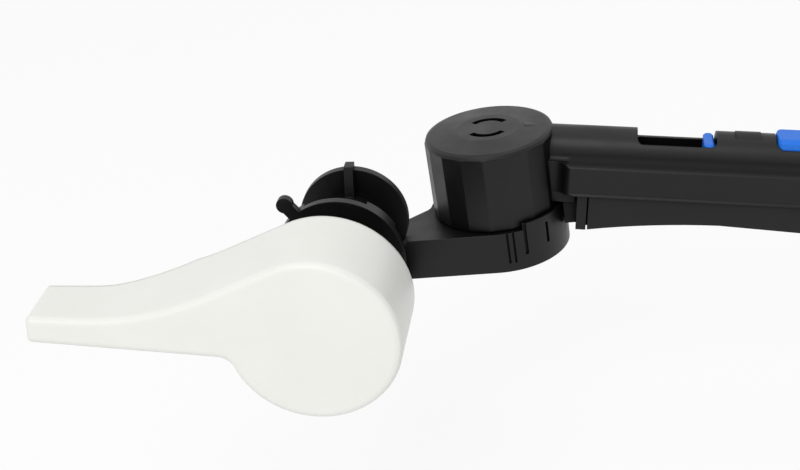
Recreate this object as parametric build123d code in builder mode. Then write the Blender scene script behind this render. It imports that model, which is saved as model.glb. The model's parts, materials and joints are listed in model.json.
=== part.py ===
from build123d import *
from math import cos, radians, sin, sqrt, tan
import os

# Universal cistern lever, in millimetres. The origin is on the spindle's axis at the outer face
# of the tank wall. +X runs along the arm, +Y into the tank and +Z up.

# Gaps and fits
running_gap = 0.05  # radial, a journal in its bore
plug_gap = 0.05  # each side, a square in its socket
body_gap = 0.35  # between pieces that move past each other
slide_gap = 0.2  # round the telescopic tongue
thread_gap = 0.1  # radial, nut on bush

# Handle
hub_radius = 18.0
hub_depth = 20.4
rim_gap = 1.1  # rim of the handle to the tank wall
handle_wall = 2.2
handle_edge = 1.2  # rounded front edge, in two bevels
lever_reach = 59.4  # spindle axis to the tip
lever_slope_angle = 19.5  # top edge where it leaves the hub
lever_waist = 33.8  # spindle axis to the waist
lever_waist_round = 63.0
lever_root_drop = 2.6  # lower edge at the hub, below the axis
lever_root_round = 3.5
tip_low = 4.2  # lower tip corner above the axis
tip_height = 5.9
tip_lean = 1.0
tip_round = 1.4
shoulder_reach = 27.0  # axis to where the lever's back starts to slope
neck_reach = 43.5
neck_depth = 14.4
tip_depth = 13.3
neck_round = 25.0
boss_radius = 6.8
stop_ring_inner = 10.2
stop_ring_wall = 2.0

# Spindle
journal_radius = 5.2
square_side = 7.0
socket_floor = 1.0
core_depth = 14.0

# Wall bush and gasket
flange_radius = 13.4
flange_thickness = 3.0
gasket_radius = 13.0
gasket_thickness = 1.6
shoulder_side = 15.6  # square that stops the bush turning in the wall
shoulder_length = 6.0
thread_radius = 7.7  # at the crests
thread_depth = 0.55
thread_end = 17.8
stop_lug_length = 4.0
stop_lug_half_angle = 9.0
stop_play_angle = 1.6  # at each end of the stroke
flush_angle = 35.0

# Mounting nut
wall_space = 12.5  # tank wall between gasket and nut
nut_flange_radius = 14.4
nut_flange_thickness = 1.8
nut_collar_radius = 10.6  # to the corners of the hexagon
nut_collar_sides = 6
nut_collar_length = 3.8
nut_pad_count = 4
nut_pad_angle = 42.0
nut_pad_half_angle = 16.0
nut_pad_height = 1.4
nut_pad_width = 1.5
wing_angle = 125.0
wing_count = 2
wing_reach = 19.2
wing_head_radius = 1.8
wing_width = 2.8

# Link between spindle and arm
nut_to_link = 0.5
link_hub_length = 15.7
link_hub_wall = 2.5  # behind the square socket
link_core_radius = 6.8  # boss round the square socket
link_plate_radius = 12.6
link_plate_thickness = 2.0
hub_rib_count = 3
hub_rib_reach = 1.1  # past the edge of the plate
hub_rib_rim = 0.9  # height on the plate, at its edge
hub_rib_root = 2.6  # height on the plate, at the core
hub_rib_width = 2.0
hub_rib_angle = 86.0
foot_right = 10.5
foot_left = 8.0
foot_front = 1.6  # behind the front of the hub
bar_back_x = 1.5  # where the bar's rear edge leaves the back of the hub
bar_corner_round = 3.0
pivot_x = 31.7
pivot_y = 47.5
link_radius = 16.2
link_top = -6.4
link_height = 9.9
link_wall = 2.2
link_roof = 2.6
bearing_height = 4.2
post_radius = 3.9
post_head_radius = 5.3
post_head_low = 6.0
post_head_height = 2.4
post_head_chamfer = 0.8
post_foot_radius = 7.0
fence_height = 1.5
fence_half_angle = 65.5  # either side of the link's line
index_pitch_angle = 21.3
index_count = 3
index_width = 0.8
index_depth = 0.5
index_length = 2.6  # of the first mark, and added to each next one
index_drop = 1.6  # fence's top to the inner marks
tick_count = 2
tick_angle = 74.0
tick_pitch_angle = 5.0
tick_width = 0.5

# Screw and washer that hold the link on the spindle
washer_radius = 6.0
washer_thickness = 1.0
screw_radius = 2.0
screw_length = 14.0
screw_head_radius = 3.9
screw_head_height = 2.6
screw_slot_width = 1.0
screw_slot_length = 4.6
screw_slot_depth = 1.3

# Swivel drum at the root of the arm
drum_radius = 15.15
drum_sides = 18
drum_turn_angle = 8.5
drum_top = 12.9
drum_rim = 1.1  # rounded rim, in two bevels
drum_rim_inset = 0.1  # rim inside the corners of the facets
drum_crown = 0.6  # rise of the conical crown
drum_crown_radius = 7.4
drum_wall = 2.2
drum_roof = 2.4
hook_gap = 0.15
hook_wall = 1.4
hook_half_angle = 48.0
barb_height = 2.2
slot_radius = 4.6
slot_width = 1.5
slot_half_angle = 52.0

# Telescopic arm, measured along the arm (s), across it and square to it (z)
arm_droop_angle = 8.24
sleeve_half = 8.78
sleeve_wall = 1.9
seam_z = 1.07
sleeve_shoulder = 8.5
sleeve_shoulder_round = 0.9
barrel_radius = 5.2
barrel_centre = 9.45
valley_round = 1.2
sleeve_end = 84.0
lip_reach = 0.3
lip_height = 0.55
neck_half = 6.4
neck_start = 13.4
neck_end = 19.0
neck_low = -1.7
stop_rib_start = 19.5
stop_rib_thickness = 2.3
stop_rib_half = 8.0
stop_rib_low = -7.9
web_end = 19.2  # level web between the link and the stop rib, from the swivel axis
web_low = -10.2
web_top = -3.0
web_front = 5.2
plug_length = 1.5
shelf_top = 7.2
shelf_thickness = 1.6
rail_depth = 1.2
rail_height = 1.25
chamber_half = 2.8
chamber_start = 24.0
chamber_end = 79.0
chamber_top = 11.8
window_start = 32.4
window_end = 50.2
window_half = 4.1
window_round = 1.2
window_back_low = 11.0  # rim of the window at the back of the ridge
button_window_start = 63.3
button_window_end = 78.3
button_window_half = 4.05
button_window_round = 1.8
pad_start = 54.4
pad_end = 60.0
pad_radius = 3.2
pad_rise = 0.4  # above the barrel

# Extension arm
skirt_half = 8.2
skirt_wall = 1.8
skirt_web = 1.7
skirt_low_start = -7.7
skirt_low_mid = -5.85
skirt_low = -4.95
skirt_mid_at = 36.0
skirt_low_at = 52.0
skirt_low_end = -7.0
blade_start = 106.0
skirt_end = 98.0
blade_half = 5.5
blade_top = 1.75
blade_thickness = 3.5
arm_reach = 135.0
chain_hole_radius = 1.6
chain_hole_pitch = 9.0
chain_hole_count = 3
chain_hole_edge = 5.0

# Lock rocker and its spring
rocker_pivot_s = 57.2
rocker_pivot_z = 9.7
trunnion_radius = 1.1
trunnion_length = 0.55
rocker_half = 2.5
rocker_low = 8.8
rocker_high = 10.6
nose_length = 2.3
nose_gap = 0.45  # to the end of its window, for the tilt
nose_top = 13.0
nose_round = 0.9
nose_edge = 0.4
heel_half = 2.3
heel_gap = 1.0  # round the heel where it passes through the shelf
button_length = 13.4
button_top = 14.95
button_low = 10.4
button_edge = 0.9
button_overlap = 2.4
spring_start = 70.0
spring_width = 4.0
spring_half_span = 3.4
spring_thickness = 0.3

# Places worked out from the sizes above
front_y = -(rim_gap + hub_depth)
flange_front = -(gasket_thickness + flange_thickness)
boss_end = flange_front - body_gap
square_front = front_y + handle_wall + socket_floor
nut_flange_back = wall_space + nut_flange_thickness
nut_end = nut_flange_back + nut_collar_length
link_hub_front = nut_end + nut_to_link
link_hub_back = link_hub_front + link_hub_length
square_back = link_hub_back - link_hub_wall - socket_floor
screw_seat = link_hub_back + washer_thickness
stop_ring_outer = stop_ring_inner + stop_ring_wall
bush_bore = journal_radius + running_gap
thread_root = thread_radius - thread_depth
nut_bore = thread_root + thread_gap
link_bottom = link_top - link_height
drum_bottom = link_top + body_gap
drum_bore = drum_radius - drum_wall
bearing_radius = drum_bore - running_gap
drum_roof_low = drum_top - drum_roof
shelf_low = shelf_top - shelf_thickness
channel_half = sleeve_half - sleeve_wall
rail_half = channel_half - rail_depth
rail_top = seam_z + rail_height
tongue_half = channel_half - slide_gap
tongue_neck_half = rail_half - slide_gap
tongue_low = rail_top + slide_gap
tongue_top = shelf_low - slide_gap
skirt_top = seam_z - slide_gap
stop_rib_end = stop_rib_start + stop_rib_thickness
extension_start = stop_rib_end + body_gap
barrel_top = barrel_centre + barrel_radius
extension_mouth = sleeve_end + body_gap
button_start = button_window_start + body_gap
nose_end = window_end - nose_gap
nose_start = nose_end - nose_length

droop = radians(arm_droop_angle)
along = Vector(cos(droop), 0, -sin(droop))
square_up = Vector(sin(droop), 0, cos(droop))
pivot = Vector(pivot_x, pivot_y, 0)


def section_plane(s):
    """Across the arm at s, local x to the back and local y up."""
    return Plane(origin=pivot + along * s, x_dir=(0, 1, 0), z_dir=along)


def plan_plane(z):
    """Seen down on the arm at height z, local x along it."""
    return Plane(origin=pivot + square_up * z, x_dir=along, z_dir=square_up)


def side_plane():
    """The arm's middle plane seen from the handle's side, local x along it and local y up."""
    return Plane(origin=pivot, x_dir=along, z_dir=(0, -1, 0))


def wall_plane(y):
    """Parallel to the tank wall at y, local x to the right and local y up, facing the user."""
    return Plane(origin=(0, y, 0), x_dir=(1, 0, 0), z_dir=(0, -1, 0))


def pivot_plane(z):
    """Level, centred on the swivel axis."""
    return Plane(origin=(pivot_x, pivot_y, z))


def radial_plane(angle):
    """Through the spindle's axis at an angle, local x outwards and local y into the tank."""
    turn = radians(angle)
    return Plane(origin=(0, 0, 0), x_dir=(cos(turn), 0, sin(turn)), z_dir=(-sin(turn), 0, cos(turn)))


def ring_sector(inner, outer, middle, half):
    """A sector of a ring about the sketch's origin, angles in degrees."""
    with BuildLine() as border:
        near = CenterArc((0, 0), inner, middle - half, 2 * half)
        far = CenterArc((0, 0), outer, middle - half, 2 * half)
        Line(near @ 0, far @ 0)
        Line(near @ 1, far @ 1)
    make_face(border.edges())


def span_rectangle(x_low, x_high, y_low, y_high, mode=Mode.ADD):
    """A rectangle between two corners."""
    with Locations(((x_low + x_high) / 2, (y_low + y_high) / 2)):
        Rectangle(x_high - x_low, y_high - y_low, mode=mode)


def round_corner(sketch, corner, radius):
    """Rounds the corner of a sketch nearest to a point."""
    fillet(sketch.vertices().sort_by_distance(corner)[0], radius)


def bevel_meet(radius):
    """How far in from both faces the two bevels meet that stand for a rounded edge."""
    return radius * (1 - cos(radians(45)))


def bevel_rim(part, outward, radius):
    """Two bevels, close to a rounded edge, round the face that lies furthest out along an axis."""
    meet = bevel_meet(radius)
    first = meet + meet * meet / (radius - meet)
    second = sqrt((first - meet) ** 2 + meet**2)
    face = part.faces().sort_by(outward)[-1]
    chamfer(face.edges(), first, radius, reference=face)
    face = part.faces().sort_by(outward)[-1]
    chamfer(face.edges(), radius - first, second, reference=face)


def handle_outline(sketch):
    """Round hub with a lever that narrows to a waist and lifts towards its blunt tip."""
    slope = radians(lever_slope_angle)
    top = (-hub_radius * sin(slope), hub_radius * cos(slope))
    waist = (-lever_waist, top[1] - (lever_waist + top[0]) * tan(slope))
    upper_tip = (tip_lean - lever_reach, tip_low + tip_height)
    lower_tip = (-lever_reach, tip_low)
    root_x = -sqrt(hub_radius**2 - lever_root_drop**2)
    inner_root = (root_x / 2, -lever_root_drop + (root_x / 2 - root_x) * (-lever_root_drop - tip_low)
                  / (root_x + lever_reach))
    Circle(hub_radius)
    with BuildLine() as lever:
        Polyline(top, waist, upper_tip, lower_tip, inner_root, (0, 0), close=True)
    make_face(lever.edges())
    round_corner(sketch, waist, lever_waist_round)
    round_corner(sketch, upper_tip, tip_round)
    round_corner(sketch, lower_tip, tip_round)
    round_corner(sketch, (root_x, -lever_root_drop), lever_root_round)


# Handle: a hollow moulding, open at the back, with a square socket and a stop ring inside
with BuildPart() as handle:
    with BuildSketch(wall_plane(-rim_gap)) as outline:
        handle_outline(outline)
    extrude(amount=hub_depth)
    back_slope = (neck_depth - tip_depth) / (lever_reach - neck_reach)
    past_tip = lever_reach + handle_wall
    with BuildSketch(Plane.XY) as lever_back:
        neck = (-neck_reach, front_y + neck_depth)
        with BuildLine():
            Polyline(
                (-shoulder_reach, -rim_gap),
                neck,
                (-past_tip, front_y + neck_depth - back_slope * (past_tip - neck_reach)),
                (-past_tip, 0),
                (-shoulder_reach, 0),
                close=True,
            )
        make_face()
        round_corner(lever_back, neck, neck_round)
    extrude(amount=hub_radius, both=True, mode=Mode.SUBTRACT)
    bevel_rim(handle, Axis((0, 0, 0), (0, -1, 0)), handle_edge)
    with BuildSketch(wall_plane(-rim_gap)) as hollow:
        handle_outline(hollow)
        offset(amount=-handle_wall, mode=Mode.REPLACE)
    extrude(amount=hub_depth - handle_wall, mode=Mode.SUBTRACT)
    with BuildSketch(wall_plane(boss_end)):
        Circle(stop_ring_outer)
        Circle(stop_ring_inner, mode=Mode.SUBTRACT)
        Circle(boss_radius)
    extrude(amount=boss_end - front_y - handle_wall)
    with BuildSketch(wall_plane(boss_end)):
        Rectangle(square_side + 2 * plug_gap, square_side + 2 * plug_gap)
    extrude(amount=boss_end - square_front + plug_gap, mode=Mode.SUBTRACT)
    with BuildSketch(wall_plane(boss_end)):
        notch_half = stop_lug_half_angle + stop_play_angle + flush_angle / 2
        notch_middle = -90 - flush_angle / 2
        ring_sector(stop_ring_inner - body_gap, stop_ring_outer + body_gap, notch_middle, notch_half)
    extrude(amount=stop_lug_length, mode=Mode.SUBTRACT)

# Spindle: a round journal between two squares, cored for the screw
with BuildPart() as spindle:
    with BuildSketch(wall_plane(boss_end)):
        Circle(journal_radius)
    extrude(amount=boss_end - link_hub_front)
    with BuildSketch(wall_plane(square_back)):
        Rectangle(square_side, square_side)
    extrude(amount=square_back - square_front)
    with BuildSketch(wall_plane(square_back)):
        Circle(screw_radius + running_gap)
    extrude(amount=core_depth, mode=Mode.SUBTRACT)

# Wall bush: flange, square shoulder and threaded shank, with a lug that stops the handle
with BuildPart() as wall_bush:
    with BuildSketch(wall_plane(-gasket_thickness)):
        Circle(flange_radius)
    extrude(amount=flange_thickness)
    with BuildSketch(wall_plane(shoulder_length)):
        Rectangle(shoulder_side, shoulder_side)
    extrude(amount=shoulder_length + gasket_thickness)
    with BuildSketch(wall_plane(thread_end)):
        Circle(thread_root)
    extrude(amount=thread_end + gasket_thickness)
    with BuildSketch(wall_plane(flange_front)):
        ring_sector(stop_ring_inner, stop_ring_outer, -90, stop_lug_half_angle)
    extrude(amount=stop_lug_length)
    with BuildSketch(wall_plane(thread_end)):
        Circle(bush_bore)
    extrude(amount=thread_end - flange_front, mode=Mode.SUBTRACT)

# Gasket between the bush flange and the wall
with BuildPart() as wall_gasket:
    with BuildSketch(wall_plane(0)):
        Circle(gasket_radius)
        Rectangle(shoulder_side + 2 * plug_gap, shoulder_side + 2 * plug_gap, mode=Mode.SUBTRACT)
    extrude(amount=gasket_thickness)

# Mounting nut: thin winged flange with grip pads and a hexagonal collar behind
with BuildPart() as mounting_nut:
    with BuildSketch(wall_plane(nut_end)):
        RegularPolygon(nut_collar_radius, nut_collar_sides)
    extrude(amount=nut_end - wall_space)
    with BuildSketch(wall_plane(nut_flange_back)):
        Circle(nut_flange_radius)
        with PolarLocations(wing_reach / 2, wing_count, start_angle=wing_angle):
            Rectangle(wing_reach - 2 * wing_head_radius, wing_width)
        with PolarLocations(wing_reach - wing_head_radius, wing_count, start_angle=wing_angle):
            Circle(wing_head_radius)
    extrude(amount=nut_flange_thickness)
    with BuildSketch(wall_plane(nut_flange_back)):
        for index in range(nut_pad_count):
            pad_middle = nut_pad_angle + index * 360 / nut_pad_count
            pad_inner = nut_flange_radius - nut_pad_width
            ring_sector(pad_inner, nut_flange_radius, pad_middle, nut_pad_half_angle)
    extrude(amount=-nut_pad_height)
    with BuildSketch(wall_plane(nut_end)):
        Circle(nut_bore)
    extrude(amount=nut_end - wall_space, mode=Mode.SUBTRACT)

# Link: core on the spindle with a ribbed plate behind, bar, and the swivel post with its fence
with BuildPart() as link:
    with BuildSketch(wall_plane(link_hub_back)):
        Circle(link_core_radius)
    extrude(amount=link_hub_length)
    with BuildSketch(wall_plane(link_hub_back)):
        span_rectangle(-link_core_radius, link_core_radius, link_bottom, 0)
    extrude(amount=link_hub_length - foot_front)
    with BuildSketch(wall_plane(link_hub_back)):
        Circle(link_plate_radius)
    extrude(amount=link_plate_thickness)
    plate_front = link_hub_back - link_plate_thickness
    rib_outer = link_plate_radius + hub_rib_reach
    for index in range(hub_rib_count):
        with BuildSketch(radial_plane(hub_rib_angle + index * 360 / hub_rib_count)):
            with BuildLine():
                Polyline(
                    (0, link_hub_back),
                    (rib_outer, link_hub_back),
                    (rib_outer, plate_front - hub_rib_rim),
                    (link_core_radius, plate_front - hub_rib_root),
                    (0, plate_front - hub_rib_root),
                    close=True,
                )
            make_face()
        extrude(amount=hub_rib_width / 2, both=True)
    bar_front = pivot_y - link_radius
    bar_meets = (pivot_x - link_radius, pivot_y)
    with BuildSketch(Plane.XY.offset(link_bottom)) as bar:
        with Locations((pivot_x, pivot_y)):
            Circle(link_radius)
        with BuildLine():
            Polyline(
                (pivot_x, bar_front),
                (foot_right, bar_front),
                (foot_right, link_hub_front + foot_front),
                (-foot_left, link_hub_front + foot_front),
                (-foot_left, link_hub_back),
                (bar_back_x, link_hub_back),
                bar_meets,
                (pivot_x, pivot_y),
                close=True,
            )
        make_face()
        round_corner(bar, bar_meets, bar_corner_round)
    extrude(amount=link_height)
    with BuildSketch(Plane.XY.offset(link_bottom)):
        with Locations((pivot_x, pivot_y)):
            Circle(link_radius - link_wall)
            Circle(post_foot_radius, mode=Mode.SUBTRACT)
    extrude(amount=link_height - link_roof, mode=Mode.SUBTRACT)
    with BuildSketch(wall_plane(link_hub_front)):
        Rectangle(square_side + 2 * plug_gap, square_side + 2 * plug_gap)
    extrude(amount=link_hub_wall - link_hub_length, mode=Mode.SUBTRACT)
    with BuildSketch(wall_plane(link_hub_back)):
        Circle(screw_radius + slide_gap)
    extrude(amount=link_hub_wall, mode=Mode.SUBTRACT)
    with BuildSketch(pivot_plane(link_top)):
        Circle(bearing_radius)
    extrude(amount=bearing_height)
    post_head_top = post_head_low + post_head_height
    with BuildSketch(Plane(origin=pivot, x_dir=(1, 0, 0), z_dir=(0, -1, 0))):
        with BuildLine():
            Polyline(
                (0, link_top),
                (post_radius, link_top),
                (post_radius, post_head_low),
                (post_head_radius, post_head_low),
                (post_head_radius, post_head_top - post_head_chamfer),
                (post_head_radius - post_head_chamfer, post_head_top),
                (0, post_head_top),
                close=True,
            )
        make_face()
    revolve(axis=Axis(pivot, (0, 0, 1)))
    with BuildSketch(pivot_plane(link_top)):
        ring_sector(drum_radius + body_gap, link_radius, 0, fence_half_angle)
    extrude(amount=fence_height)
    for index in range(1, index_count + 1):
        mark_top = link_top + fence_height - index_drop
        if index == index_count:
            mark_top = link_top + fence_height
        with BuildSketch(pivot_plane(mark_top)):
            for angle in (index * index_pitch_angle, -index * index_pitch_angle):
                with PolarLocations(link_radius, 1, start_angle=angle):
                    Rectangle(2 * index_depth, index_width)
        extrude(amount=-index * index_length, mode=Mode.SUBTRACT)
    with BuildSketch(pivot_plane(link_top)):
        for index in range(tick_count):
            with PolarLocations(link_radius, 1, start_angle=-tick_angle - index * tick_pitch_angle):
                Rectangle(2 * index_depth, tick_width)
    extrude(amount=-index_count * index_length, mode=Mode.SUBTRACT)

# Washer and screw behind the link's hub
with BuildPart() as link_washer:
    with BuildSketch(wall_plane(screw_seat)):
        Circle(washer_radius)
        Circle(screw_radius + slide_gap, mode=Mode.SUBTRACT)
    extrude(amount=washer_thickness)

with BuildPart() as link_screw:
    with BuildSketch(wall_plane(screw_seat + screw_head_height)):
        Circle(screw_head_radius)
    extrude(amount=screw_head_height)
    chamfer(link_screw.faces().sort_by(Axis.Y)[-1].edges(), screw_head_height / 2)
    with BuildSketch(wall_plane(screw_seat)):
        Circle(screw_radius)
    extrude(amount=screw_length)
    with BuildSketch(wall_plane(screw_seat + screw_head_height)):
        Rectangle(screw_slot_length, screw_slot_width)
        Rectangle(screw_slot_width, screw_slot_length)
    extrude(amount=screw_slot_depth, mode=Mode.SUBTRACT)

# Arm sleeve: faceted swivel drum and a sleeve with a round-backed ridge, moulded as one
with BuildPart() as arm_sleeve:
    with BuildSketch(section_plane(drum_bore / 2)) as section:
        span_rectangle(-sleeve_half, sleeve_half, seam_z, sleeve_shoulder)
        with Locations((0, barrel_centre)):
            Circle(barrel_radius)
        for side in (-1, 1):
            round_corner(section, (side * sleeve_half, sleeve_shoulder), sleeve_shoulder_round)
            round_corner(section, (side * barrel_radius, sleeve_shoulder), valley_round)
    extrude(amount=sleeve_end - drum_bore / 2)
    with BuildSketch(section_plane(neck_start)):
        with BuildLine():
            lip_half = sleeve_half + lip_reach
            lip_top = seam_z + lip_height
            Polyline(
                (-sleeve_half, lip_top),
                (-lip_half, lip_top - lip_reach),
                (-lip_half, seam_z),
                (lip_half, seam_z),
                (lip_half, lip_top - lip_reach),
                (sleeve_half, lip_top),
                close=True,
            )
        make_face()
    extrude(amount=sleeve_end - neck_start)
    with BuildSketch(plan_plane(seam_z)):
        for side in (-1, 1):
            with BuildLine():
                flare_low = (neck_start, side * neck_half)
                flare_middle = ((neck_start + neck_end) / 2, side * (neck_half + lip_half) / 2)
                flare_high = (neck_end, side * lip_half)
                inner_bend = TangentArc(flare_low, flare_middle, tangent=(1, 0))
                TangentArc(flare_middle, flare_high, tangent=inner_bend % 1)
                Polyline(
                    flare_high,
                    (neck_end, side * 2 * sleeve_half),
                    (0, side * 2 * sleeve_half),
                    (0, side * neck_half),
                    flare_low,
                )
            make_face()
    extrude(amount=2 * drum_top, mode=Mode.SUBTRACT)
    with BuildSketch(section_plane(drum_bore / 2)):
        span_rectangle(-neck_half, neck_half, neck_low, sleeve_shoulder)
    extrude(amount=neck_end - drum_bore / 2)
    with BuildSketch(section_plane(stop_rib_start)):
        span_rectangle(-stop_rib_half, stop_rib_half, stop_rib_low, rail_top)
    extrude(amount=stop_rib_thickness)
    with BuildSketch(pivot_plane(web_low)):
        span_rectangle(0, web_end, -web_front, stop_rib_half)
        Circle(link_radius + body_gap, mode=Mode.SUBTRACT)
    extrude(amount=web_top - web_low)
    with BuildSketch(section_plane(stop_rib_end)):
        plug_half = skirt_half - skirt_wall - body_gap
        span_rectangle(-plug_half, plug_half, skirt_low_start, skirt_top - skirt_web - body_gap)
    extrude(amount=plug_length)
    with BuildSketch(pivot_plane(drum_bottom)):
        RegularPolygon(drum_radius, drum_sides, rotation=drum_turn_angle)
    extrude(amount=drum_top - drum_rim - drum_bottom)
    with BuildSketch(Plane(origin=pivot, x_dir=(1, 0, 0), z_dir=(0, -1, 0))):
        rim_radius = drum_radius - drum_rim_inset
        rim_meet = bevel_meet(drum_rim)
        with BuildLine():
            Polyline(
                (0, drum_roof_low),
                (drum_bore, drum_roof_low),
                (drum_bore, drum_top - drum_rim),
                (rim_radius, drum_top - drum_rim),
                (rim_radius - rim_meet, drum_top - rim_meet),
                (rim_radius - drum_rim, drum_top),
                (drum_crown_radius, drum_top + drum_crown),
                (0, drum_top + drum_crown),
                close=True,
            )
        make_face()
    revolve(axis=Axis(pivot, (0, 0, 1)))
    with BuildSketch(pivot_plane(drum_bottom)):
        Circle(drum_bore)
    extrude(amount=drum_roof_low - drum_bottom, mode=Mode.SUBTRACT)
    hook_inner = post_head_radius + hook_gap
    barb_top = post_head_low - hook_gap
    with BuildSketch(pivot_plane(barb_top - barb_height)):
        for side in (90, -90):
            ring_sector(hook_inner, hook_inner + hook_wall, side, hook_half_angle)
    extrude(amount=drum_roof_low - barb_top + barb_height)
    with BuildSketch(pivot_plane(barb_top - barb_height)):
        for side in (90, -90):
            ring_sector(post_radius + hook_gap, hook_inner, side, hook_half_angle)
    extrude(amount=barb_height)
    with BuildSketch(pivot_plane(drum_roof_low)):
        for side in (90, -90):
            slot_inner = slot_radius - slot_width / 2
            ring_sector(slot_inner, slot_inner + slot_width, side, slot_half_angle)
    extrude(amount=drum_roof + drum_crown, mode=Mode.SUBTRACT)
    with BuildSketch(section_plane(stop_rib_end)):
        span_rectangle(-channel_half, channel_half, rail_top, shelf_low)
        span_rectangle(-rail_half, rail_half, seam_z, rail_top)
    extrude(amount=sleeve_end - stop_rib_end, mode=Mode.SUBTRACT)
    with BuildSketch(section_plane(chamber_start)):
        span_rectangle(-chamber_half, chamber_half, shelf_top, chamber_top)
    extrude(amount=chamber_end - chamber_start, mode=Mode.SUBTRACT)
    with BuildSketch(plan_plane(shelf_top)):
        with Locations(((window_start + window_end) / 2, 0)):
            RectangleRounded(window_end - window_start, 2 * window_half, window_round)
    extrude(amount=barrel_radius + sleeve_shoulder, mode=Mode.SUBTRACT)
    with BuildSketch(plan_plane(window_back_low)):
        span_rectangle(window_start, window_end, 0, 2 * barrel_radius)
    extrude(amount=barrel_radius, mode=Mode.SUBTRACT)
    with BuildSketch(plan_plane(shelf_top)):
        with Locations(((button_window_start + button_window_end) / 2, 0)):
            button_window_length = button_window_end - button_window_start
            RectangleRounded(button_window_length, 2 * button_window_half, button_window_round)
    extrude(amount=barrel_radius + sleeve_shoulder, mode=Mode.SUBTRACT)
    with BuildSketch(plan_plane(shelf_low)):
        span_rectangle(nose_start - heel_gap, nose_end + heel_gap, -chamber_half, chamber_half)
    extrude(amount=shelf_thickness, mode=Mode.SUBTRACT)
    with BuildSketch(side_plane()):
        with Locations((rocker_pivot_s, rocker_pivot_z)):
            Circle(trunnion_radius + running_gap)
    socket_half = rocker_half + trunnion_length + slide_gap
    extrude(amount=socket_half, both=True, mode=Mode.SUBTRACT)
    with BuildSketch(section_plane(pad_start)):
        with Locations((0, barrel_top + pad_rise - pad_radius)):
            Circle(pad_radius)
        span_rectangle(-pad_radius, pad_radius, shelf_top, chamber_top, mode=Mode.SUBTRACT)
    extrude(amount=pad_end - pad_start)

# Extension arm: a tongue in the sleeve, a hollow skirt below it and a flat blade with chain holes
with BuildPart() as extension_arm:
    with BuildSketch(side_plane()):
        with BuildLine():
            ThreePointArc(
                (extension_start, skirt_low_start),
                (skirt_mid_at, skirt_low_mid),
                (skirt_low_at, skirt_low),
            )
            Polyline(
                (skirt_low_at, skirt_low),
                (skirt_end, skirt_low_end),
                (blade_start, blade_top - blade_thickness),
                (arm_reach, blade_top - blade_thickness),
                (arm_reach, blade_top),
                (blade_start, blade_top),
                (extension_mouth, tongue_top),
                (extension_start, tongue_top),
                (extension_start, skirt_low_start),
            )
        make_face()
    extrude(amount=skirt_half, both=True)
    with BuildSketch(plan_plane(0)) as blade_plan:
        span_rectangle(extension_start, arm_reach, -skirt_half, skirt_half)
        with BuildLine():
            round_start = arm_reach - blade_half
            Polyline(
                (extension_start, -skirt_half),
                (extension_mouth, -skirt_half),
                (blade_start, -blade_half),
                (round_start, -blade_half),
            )
            RadiusArc((round_start, -blade_half), (round_start, blade_half), -blade_half)
            Polyline(
                (round_start, blade_half),
                (blade_start, blade_half),
                (extension_mouth, skirt_half),
                (extension_start, skirt_half),
                (extension_start, -skirt_half),
            )
        make_face(mode=Mode.INTERSECT)
    extrude(amount=skirt_half * 2, both=True, mode=Mode.INTERSECT)
    with BuildSketch(section_plane(extension_start)):
        for side in (-1, 1):
            neck_inner, neck_outer = sorted((side * tongue_neck_half, side * 2 * skirt_half))
            span_rectangle(neck_inner, neck_outer, skirt_top, tongue_low)
            tongue_inner, tongue_outer = sorted((side * tongue_half, side * 2 * skirt_half))
            span_rectangle(tongue_inner, tongue_outer, tongue_low, 2 * tongue_top)
    extrude(amount=extension_mouth - extension_start, mode=Mode.SUBTRACT)
    with BuildSketch(section_plane(extension_start)):
        inner_half = skirt_half - skirt_wall
        span_rectangle(-inner_half, inner_half, 2 * skirt_low_start, skirt_top - skirt_web)
    extrude(amount=extension_mouth - extension_start, mode=Mode.SUBTRACT)
    with BuildSketch(plan_plane(blade_top)):
        for index in range(chain_hole_count):
            with Locations((arm_reach - chain_hole_edge - index * chain_hole_pitch, 0)):
                Circle(chain_hole_radius)
    extrude(amount=-blade_thickness, mode=Mode.SUBTRACT)

# Lock rocker: nose and brake heel at one end, push button at the other, trunnions between
with BuildPart() as lock_rocker:
    with BuildSketch(side_plane()):
        span_rectangle(nose_start, button_start + button_overlap, rocker_low, rocker_high)
        with Locations((rocker_pivot_s, rocker_pivot_z)):
            Circle(trunnion_radius)
    extrude(amount=rocker_half, both=True)
    with BuildSketch(side_plane()):
        span_rectangle(nose_start, nose_end, tongue_top + body_gap, rocker_high)
    extrude(amount=heel_half, both=True)
    with BuildSketch(side_plane()):
        with Locations((rocker_pivot_s, rocker_pivot_z)):
            Circle(trunnion_radius)
    extrude(amount=rocker_half + trunnion_length, both=True)
    with BuildSketch(plan_plane(rocker_high)):
        with Locations((nose_start + nose_length / 2, 0)):
            nose_half = window_half - body_gap
            RectangleRounded(nose_length, 2 * nose_half, nose_round)
    extrude(amount=nose_top - rocker_high)
    chamfer(lock_rocker.faces().sort_by(Axis(pivot, square_up))[-1].edges(), nose_edge)
    with BuildSketch(plan_plane(button_low)):
        with Locations((button_start + button_length / 2, 0)):
            button_half = button_window_half - body_gap
            RectangleRounded(button_length, 2 * button_half, button_window_round - body_gap)
    extrude(amount=button_top - button_low)
    bevel_rim(lock_rocker, Axis(pivot, square_up), button_edge)

# Bow spring that stands across the sleeve's shelf and carries the underside of the button
with BuildPart() as button_spring:
    with BuildSketch(section_plane(spring_start)):
        with BuildLine() as bow:
            spring_crown = button_low - running_gap - spring_thickness / 2
            spring_foot = shelf_top + running_gap + spring_thickness / 2
            ThreePointArc(
                (-spring_half_span, spring_foot),
                (0, spring_crown),
                (spring_half_span, spring_foot),
            )
        trace(bow.edges(), spring_thickness)
    extrude(amount=spring_width)

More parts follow.
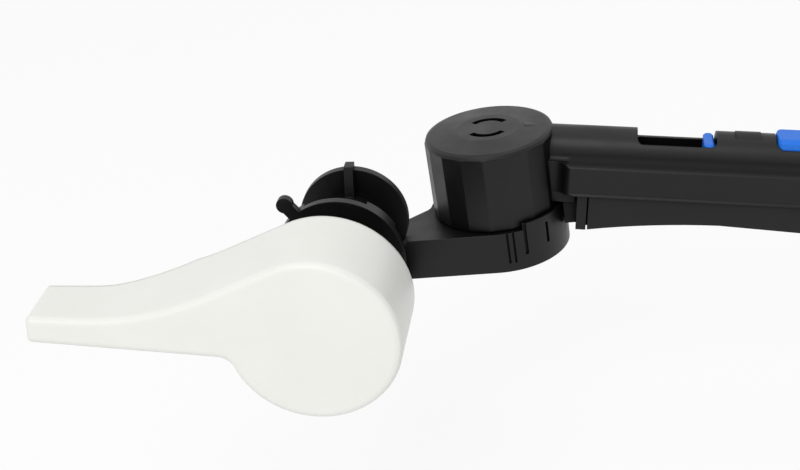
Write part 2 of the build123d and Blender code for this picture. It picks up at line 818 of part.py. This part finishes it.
pieces = {
    "handle": handle,
    "spindle": spindle,
    "wall_bush": wall_bush,
    "wall_gasket": wall_gasket,
    "mounting_nut": mounting_nut,
    "link": link,
    "link_washer": link_washer,
    "link_screw": link_screw,
    "arm_sleeve": arm_sleeve,
    "extension_arm": extension_arm,
    "lock_rocker": lock_rocker,
    "button_spring": button_spring,
}

os.makedirs("parts", exist_ok=True)
for name, piece in pieces.items():
    piece.part.label = name
    export_step(piece.part, f"parts/{name}.step")
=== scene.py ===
import bmesh
import bpy
import json
import math
from mathutils import Matrix, Vector


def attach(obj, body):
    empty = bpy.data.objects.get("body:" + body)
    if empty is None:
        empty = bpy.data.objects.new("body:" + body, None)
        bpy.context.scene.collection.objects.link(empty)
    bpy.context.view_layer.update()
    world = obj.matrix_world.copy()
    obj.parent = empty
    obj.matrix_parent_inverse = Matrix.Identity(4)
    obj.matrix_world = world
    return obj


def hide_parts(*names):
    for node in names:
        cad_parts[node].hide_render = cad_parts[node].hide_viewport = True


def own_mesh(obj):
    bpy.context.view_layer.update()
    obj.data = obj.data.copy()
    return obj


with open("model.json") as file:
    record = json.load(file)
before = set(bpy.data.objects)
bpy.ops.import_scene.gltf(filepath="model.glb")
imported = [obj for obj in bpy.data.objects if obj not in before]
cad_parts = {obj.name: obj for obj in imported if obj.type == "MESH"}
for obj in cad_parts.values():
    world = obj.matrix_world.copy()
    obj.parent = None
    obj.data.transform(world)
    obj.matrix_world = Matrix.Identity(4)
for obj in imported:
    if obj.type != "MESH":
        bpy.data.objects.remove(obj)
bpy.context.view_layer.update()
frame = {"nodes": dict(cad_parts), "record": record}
nodes = frame["nodes"]

scene = bpy.context.scene
scene.view_settings.view_transform = "Standard"

# The arm's own directions, and the point that it swivels on
droop = math.radians(8.24)
along = Vector((math.cos(droop), 0, -math.sin(droop)))
square_up = Vector((math.sin(droop), 0, math.cos(droop)))
pivot = Vector((0.0317, 0.0475, 0))


# Node helpers

def new_material(name):
    """An empty node material with its output and a Principled shader."""
    material = bpy.data.materials.new(name)
    material.use_nodes = True
    tree = material.node_tree
    tree.nodes.clear()
    output = tree.nodes.new("ShaderNodeOutputMaterial")
    shader = tree.nodes.new("ShaderNodeBsdfPrincipled")
    tree.links.new(shader.outputs["BSDF"], output.inputs["Surface"])
    return material, tree, shader


def coordinates(tree, stretch=(1.0, 1.0, 1.0)):
    """The piece's own coordinates in metres, stretched along its axes."""
    source = tree.nodes.new("ShaderNodeTexCoord")
    mapping = tree.nodes.new("ShaderNodeMapping")
    mapping.inputs["Scale"].default_value = stretch
    tree.links.new(source.outputs["Object"], mapping.inputs["Vector"])
    return mapping.outputs["Vector"]


def noise(tree, where, scale, detail=3.0, roughness=0.55):
    """A noise value from 0 to 1, scale in features per metre."""
    node = tree.nodes.new("ShaderNodeTexNoise")
    node.inputs["Scale"].default_value = scale
    node.inputs["Detail"].default_value = detail
    node.inputs["Roughness"].default_value = roughness
    tree.links.new(where, node.inputs["Vector"])
    return node.outputs["Fac"]


def to_range(tree, value, low, high, source_low=0.3, source_high=0.7):
    """Maps a value to a range. The usual source is the middle of a noise."""
    node = tree.nodes.new("ShaderNodeMapRange")
    node.inputs["From Min"].default_value = source_low
    node.inputs["From Max"].default_value = source_high
    node.inputs["To Min"].default_value = low
    node.inputs["To Max"].default_value = high
    tree.links.new(value, node.inputs["Value"])
    return node.outputs["Result"]


def ramp(tree, value, stops):
    """A colour ramp of (position, (r, g, b)) stops."""
    node = tree.nodes.new("ShaderNodeValToRGB")
    elements = node.color_ramp.elements
    while len(elements) < len(stops):
        elements.new(1.0)
    for element, (position, colour) in zip(elements, stops):
        element.position = position
        element.color = (*colour, 1.0)
    tree.links.new(value, node.inputs["Fac"])
    return node.outputs["Color"]


def bump(tree, height, strength, distance, below=None):
    """A bump normal, laid over another one if given."""
    node = tree.nodes.new("ShaderNodeBump")
    node.inputs["Strength"].default_value = strength
    node.inputs["Distance"].default_value = distance
    tree.links.new(height, node.inputs["Height"])
    if below is not None:
        tree.links.new(below, node.inputs["Normal"])
    return node.outputs["Normal"]


def soft_edge(tree, radius):
    """The surface normal, turned gradually over each edge as a moulded edge is."""
    node = tree.nodes.new("ShaderNodeBevel")
    node.samples = 6
    node.inputs["Radius"].default_value = radius
    return node.outputs["Normal"]


def product(tree, one, two):
    """Two values multiplied."""
    node = tree.nodes.new("ShaderNodeMath")
    node.operation = "MULTIPLY"
    tree.links.new(one, node.inputs[0])
    tree.links.new(two, node.inputs[1])
    return node.outputs["Value"]


def vector_step(tree, operation, where, amount):
    """A vector node with one linked and one fixed input."""
    node = tree.nodes.new("ShaderNodeVectorMath")
    node.operation = operation
    tree.links.new(where, node.inputs[0])
    node.inputs[1].default_value = amount
    return node


def mixed_colour(tree, share, colour, other):
    """A linked colour that turns into a fixed one as the share goes from 0 to 1."""
    node = tree.nodes.new("ShaderNodeMix")
    node.data_type = "RGBA"
    share_in, colour_in, other_in = node.inputs[0], node.inputs[6], node.inputs[7]
    tree.links.new(share, share_in)
    tree.links.new(colour, colour_in)
    other_in.default_value = (*other, 1.0)
    return node.outputs[2]


def open_share(tree, reach):
    """1 on an open surface, less in a recess, counted over a reach in metres."""
    node = tree.nodes.new("ShaderNodeAmbientOcclusion")
    node.samples = 8
    node.inputs["Distance"].default_value = reach
    return node.outputs["AO"]


def ledge_shade_mask(tree):
    """1 on the ledges between the sleeve's barrel and its sides, fading to 0 round them: where the
    painted shade goes.
    """
    place = vector_step(tree, "SUBTRACT", coordinates(tree), pivot).outputs["Vector"]
    length = vector_step(tree, "DOT_PRODUCT", place, along).outputs["Value"]
    height = vector_step(tree, "DOT_PRODUCT", place, square_up).outputs["Value"]
    side = vector_step(tree, "DOT_PRODUCT", place, (0.0, 1.0, 0.0)).outputs["Value"]
    absolute = tree.nodes.new("ShaderNodeMath")
    absolute.operation = "ABSOLUTE"
    tree.links.new(side, absolute.inputs[0])
    width = absolute.outputs["Value"]
    past_drum = to_range(tree, length, 0.0, 1.0, 0.0165, 0.0175)
    over_sides = to_range(tree, height, 0.0, 1.0, 0.0078, 0.0085)
    under_barrel = to_range(tree, height, 1.0, 0.0, 0.0092, 0.0104)
    beside_windows = to_range(tree, width, 0.0, 1.0, 0.0045, 0.0049)
    share = product(tree, past_drum, over_sides)
    share = product(tree, share, under_barrel)
    return product(tree, share, beside_windows)


# Materials

def moulded_plastic(name, stops, gloss, grain, specular, edge):
    """Injection-moulded plastic: cloudy colour, uneven gloss, soft edges, fine grain and flow marks.

    gloss is the range of the roughness, grain its features per metre and its strength.
    """
    material, tree, shader = new_material(name)
    where = coordinates(tree)
    flow = coordinates(tree, stretch=(0.12, 1.0, 1.0))
    cloud = noise(tree, where, scale=55.0, detail=4.0)
    tree.links.new(ramp(tree, cloud, stops), shader.inputs["Base Color"])
    sheen = noise(tree, where, scale=140.0, detail=5.0)
    tree.links.new(to_range(tree, sheen, *gloss), shader.inputs["Roughness"])
    flow_marks = noise(tree, flow, scale=260.0, detail=2.0)
    peel = bump(tree, flow_marks, 0.12, 0.0002, below=soft_edge(tree, edge))
    grain_scale, grain_strength = grain
    grains = noise(tree, where, grain_scale, detail=2.0)
    fine = bump(tree, grains, grain_strength, 0.0001, below=peel)
    tree.links.new(fine, shader.inputs["Normal"])
    shader.inputs["Specular IOR Level"].default_value = specular
    return material


def black_moulding(name, shaded_ledges=False):
    """Black plastic with painted shade: its shine is cut in recesses, and on the sleeve its ledges get
    a painted dark shade.
    """
    stops = [(0.3, (0.0018, 0.0018, 0.0019)), (0.7, (0.0036, 0.0036, 0.0037))]
    # Painted shade: the dark colour laid on the sleeve's ledges.
    ledge_shade_black = (0.026, 0.026, 0.026)
    specular = 0.34
    recess_reach = 0.006
    material = moulded_plastic(
        name, stops, gloss=(0.34, 0.48), grain=(3200.0, 0.12), specular=specular, edge=0.00025
    )
    tree = material.node_tree
    shader = tree.nodes["Principled BSDF"]
    # Painted shade: the shine falls to a twentieth where the occlusion node finds near surfaces, so
    # recesses render darker.
    shine = to_range(tree, open_share(tree, recess_reach), 0.05 * specular, specular, 0.35, 0.95)
    if shaded_ledges:
        # Painted shade on the sleeve's ledges: a darker colour and no shine where the mask is 1.
        ledge_shade = ledge_shade_mask(tree)
        shine = product(tree, shine, to_range(tree, ledge_shade, 1.0, 0.0, 0.0, 1.0))
        base = shader.inputs["Base Color"]
        plain_black = base.links[0].from_socket
        tree.links.new(mixed_colour(tree, ledge_shade, plain_black, ledge_shade_black), base)
    tree.links.new(shine, shader.inputs["Specular IOR Level"])
    return material


def steel(name):
    """Bright turned steel with fine round scratches."""
    stops = [(0.3, (0.5, 0.5, 0.51)), (0.7, (0.68, 0.68, 0.69))]
    material, tree, shader = new_material(name)
    where = coordinates(tree, stretch=(1.0, 0.08, 1.0))
    scratch = noise(tree, where, scale=2600.0, detail=4.0)
    tree.links.new(ramp(tree, scratch, stops), shader.inputs["Base Color"])
    tree.links.new(to_range(tree, scratch, 0.22, 0.4), shader.inputs["Roughness"])
    tree.links.new(bump(tree, scratch, 0.15, 0.00005), shader.inputs["Normal"])
    shader.inputs["Metallic"].default_value = 1.0
    return material


def rubber(name):
    """Soft rubber with a dull finish and a dusty bloom."""
    stops = [(0.3, (0.02, 0.02, 0.02)), (0.75, (0.05, 0.05, 0.048))]
    material, tree, shader = new_material(name)
    where = coordinates(tree)
    bloom = noise(tree, where, scale=120.0, detail=5.0)
    tree.links.new(ramp(tree, bloom, stops), shader.inputs["Base Color"])
    tree.links.new(to_range(tree, bloom, 0.6, 0.85), shader.inputs["Roughness"])
    tree.links.new(bump(tree, noise(tree, where, scale=1800.0), 0.3, 0.0001), shader.inputs["Normal"])
    shader.inputs["Specular IOR Level"].default_value = 0.3
    return material


white_stops = [(0.3, (0.865, 0.87, 0.82)), (0.7, (0.895, 0.9, 0.855))]
blue_stops = [(0.3, (0.015, 0.17, 0.76)), (0.7, (0.022, 0.2, 0.82))]
finishes = {
    "handle_white": moulded_plastic(
        "white_plastic", white_stops, gloss=(0.3, 0.42), grain=(2200.0, 0.06), specular=0.5, edge=0.0011
    ),
    "black_plastic": black_moulding("black_plastic"),
    "blue_plastic": moulded_plastic(
        "blue_plastic", blue_stops, gloss=(0.36, 0.46), grain=(2600.0, 0.06), specular=0.25, edge=0.0003
    ),
    "gasket_rubber": rubber("gasket_rubber"),
    "steel": steel("steel"),
}
slot_of = {entry["node"]: entry["material_slot"] for entry in frame["record"]["subparts"]}
for name, node in nodes.items():
    node.data.materials.clear()
    node.data.materials.append(finishes[slot_of[name]])
# The sleeve's black carries painted shade on its ledges.
nodes["arm_sleeve"].data.materials[0] = black_moulding("sleeve_plastic", shaded_ledges=True)


# The bush's thread, and a bowed steel leaf on the arm in place of the button's spring

def swept_piece(name, rings, slot):
    """A closed piece through a row of rings of four points each."""
    mesh = bmesh.new()
    corners = [[mesh.verts.new(point) for point in ring] for ring in rings]
    mesh.faces.new(corners[0])
    mesh.faces.new(corners[-1])
    for ring, following in zip(corners, corners[1:]):
        for side in range(4):
            beside = (side + 1) % 4
            mesh.faces.new((ring[side], ring[beside], following[beside], following[side]))
    bmesh.ops.recalc_face_normals(mesh, faces=mesh.faces)
    data = bpy.data.meshes.new(name)
    mesh.to_mesh(data)
    mesh.free()
    data.materials.append(finishes[slot])
    piece = bpy.data.objects.new(name, data)
    scene.collection.objects.link(piece)
    return piece


def thread_rings(root, crest, start, end, pitch):
    """A trapezoid ridge wound round the spindle's axis, running out at both ends."""
    per_turn = 72
    foot = 0.8 * pitch
    land = 0.25 * pitch
    steps = int((end - start - foot) / pitch * per_turn)
    rings = []
    for step in range(steps + 1):
        angle = 2 * math.pi * step / per_turn
        middle = start + foot / 2 + pitch * step / per_turn
        lift = min(1.0, 4 * (step + 1) / per_turn, 4 * (steps - step + 1) / per_turn)
        top = root + (crest - root) * lift
        profile = ((root, -foot / 2), (top, -land / 2), (top, land / 2), (root, foot / 2))
        rings.append([(r * math.cos(angle), middle + y, r * math.sin(angle)) for r, y in profile])
    return rings


def arm_point(length, side, height):
    """A point given along the arm, across it and square to it."""
    return pivot + along * length + square_up * height + Vector((0, side, 0))


def bow_rings(start, width, half_span, foot, crown, thickness):
    """A leaf bent across the arm, standing on the sleeve's shelf."""
    rise = crown - foot
    radius = (half_span**2 + rise**2) / (2 * rise)
    half_turn = math.asin(half_span / radius)
    inner = radius - thickness / 2
    outer = radius + thickness / 2
    end = start + width
    steps = 32
    rings = []
    for step in range(steps + 1):
        angle = half_turn * (2 * step / steps - 1)
        ring = []
        for length, reach in ((start, inner), (start, outer), (end, outer), (end, inner)):
            height = crown - radius + reach * math.cos(angle)
            ring.append(arm_point(length, reach * math.sin(angle), height))
        rings.append(ring)
    return rings


shank_thread = thread_rings(root=0.00705, crest=0.0077, start=0.0061, end=0.0123, pitch=0.0015)
thread = swept_piece("bush_thread", shank_thread, "black_plastic")
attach(thread, "mount")

button_leaf = bow_rings(
    start=0.07, width=0.004, half_span=0.0034, foot=0.0074, crown=0.0102, thickness=0.0003
)
bow = swept_piece("button_bow", button_leaf, "steel")
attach(bow, "arm")
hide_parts("button_spring")
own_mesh(bow)


# Floor, light and camera

def seen_rays(tree):
    """1 for rays from the camera, straight or by way of a reflection or glass, else 0."""
    rays = tree.nodes.new("ShaderNodeLightPath")
    seen = rays.outputs["Is Camera Ray"]
    for ray in ("Is Glossy Ray", "Is Transmission Ray"):
        either = tree.nodes.new("ShaderNodeMath")
        either.operation = "MAXIMUM"
        tree.links.new(seen, either.inputs[0])
        tree.links.new(rays.outputs[ray], either.inputs[1])
        seen = either.outputs["Value"]
    return seen


def pale_floor(level, white):
    """A wide plain floor, part of its seen tone plain white and the rest lit, so that shadows stay."""
    reach = 6.0
    stops = [(0.3, (0.93, 0.93, 0.93)), (0.7, (0.95, 0.95, 0.95))]
    mesh = bpy.data.meshes.new("floor")
    corners = [
        (-reach, -reach, level), (reach, -reach, level), (reach, reach, level), (-reach, reach, level)
    ]
    mesh.from_pydata(corners, [], [(0, 1, 2, 3)])
    floor = bpy.data.objects.new("floor", mesh)
    scene.collection.objects.link(floor)
    material, tree, shader = new_material("floor")
    tone = noise(tree, coordinates(tree), scale=3.0, detail=2.0)
    tree.links.new(ramp(tree, tone, stops), shader.inputs["Base Color"])
    shader.inputs["Roughness"].default_value = 0.9
    shader.inputs["Specular IOR Level"].default_value = 0.1
    glow = tree.nodes.new("ShaderNodeEmission")
    both = tree.nodes.new("ShaderNodeMixShader")
    tree.links.new(to_range(tree, seen_rays(tree), 0.0, white, 0.0, 1.0), both.inputs["Fac"])
    tree.links.new(shader.outputs["BSDF"], both.inputs[1])
    tree.links.new(glow.outputs["Emission"], both.inputs[2])
    tree.links.new(both.outputs["Shader"], tree.nodes["Material Output"].inputs["Surface"])
    mesh.materials.append(material)


def studio_world(light):
    """White where the camera or a reflection sees it, a lower level for the light it gives."""
    world = bpy.data.worlds.new("studio")
    scene.world = world
    world.use_nodes = True
    tree = world.node_tree
    back = tree.nodes["Background"]
    back.inputs["Color"].default_value = (1.0, 1.0, 1.0, 1.0)
    level = to_range(tree, seen_rays(tree), light, 1.0, 0.0, 1.0)
    tree.links.new(level, back.inputs["Strength"])


def softbox(name, place, target, size, power):
    """A square area light aimed at a point."""
    data = bpy.data.lights.new(name, "AREA")
    data.shape = "SQUARE"
    data.size = size
    data.energy = power
    lamp = bpy.data.objects.new(name, data)
    lamp.location = place
    aim = Vector(target) - Vector(place)
    lamp.rotation_euler = aim.to_track_quat("-Z", "Y").to_euler()
    scene.collection.objects.link(lamp)


part_middle = (0.04, 0.02, 0.0)
pale_floor(level=-0.07, white=0.88)
studio_world(light=0.5)
softbox("key", place=(-0.1, -0.6, 0.7), target=part_middle, size=0.5, power=4.3)
softbox("top", place=(0.15, 0.2, 0.8), target=part_middle, size=0.6, power=0.6)

camera_data = bpy.data.cameras.new("camera")
camera_data.sensor_fit = "HORIZONTAL"
camera_data.sensor_width = 36.0
camera_data.lens = 63.12
camera_data.clip_start = 0.01
camera_data.clip_end = 20.0
camera = bpy.data.objects.new("camera", camera_data)
scene.collection.objects.link(camera)
eye = Vector((0.06859, -0.25151, 0.14152))
aim = Vector((0.014425, 0.011107, 0.005921))
roll = math.radians(-9.547)
turn = (aim - eye).to_track_quat("-Z", "Y").to_matrix() @ Matrix.Rotation(roll, 3, "Z")
camera.matrix_world = Matrix.Translation(eye) @ turn.to_4x4()
scene.camera = camera
